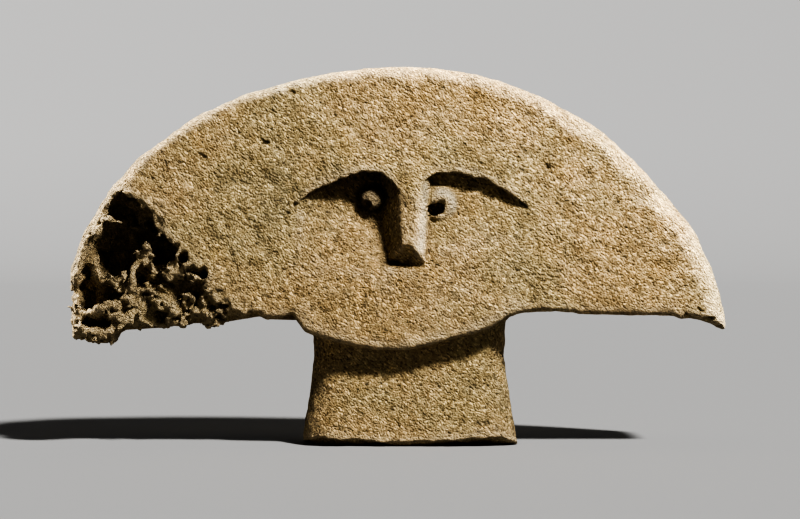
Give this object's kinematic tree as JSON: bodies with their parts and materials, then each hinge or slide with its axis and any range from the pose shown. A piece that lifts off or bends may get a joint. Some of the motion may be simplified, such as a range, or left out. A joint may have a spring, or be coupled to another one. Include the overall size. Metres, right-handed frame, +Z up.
{
  "type": "stone statue head",
  "caption": "Half-moon head of an ancient sandstone figure on a short broken neck, with a carved brow, nose and pellet eyes; it stands upright on the break.",
  "frame": {"origin": "on the ground plane that the broken neck stands on, at the middle of the box around the stone", "axes": "+Z up from the break to the top of the half-moon, -Y the way the face looks, +X to the right of someone facing it"},
  "size_m": [0.5614, 0.1417, 0.3233],
  "materials": {
    "sandstone": "pecked and weathered tan sandstone, matt and granular"
  },
  "bodies": {
    "root": {"stone_head": "sandstone"}
  },
  "joints": []
}
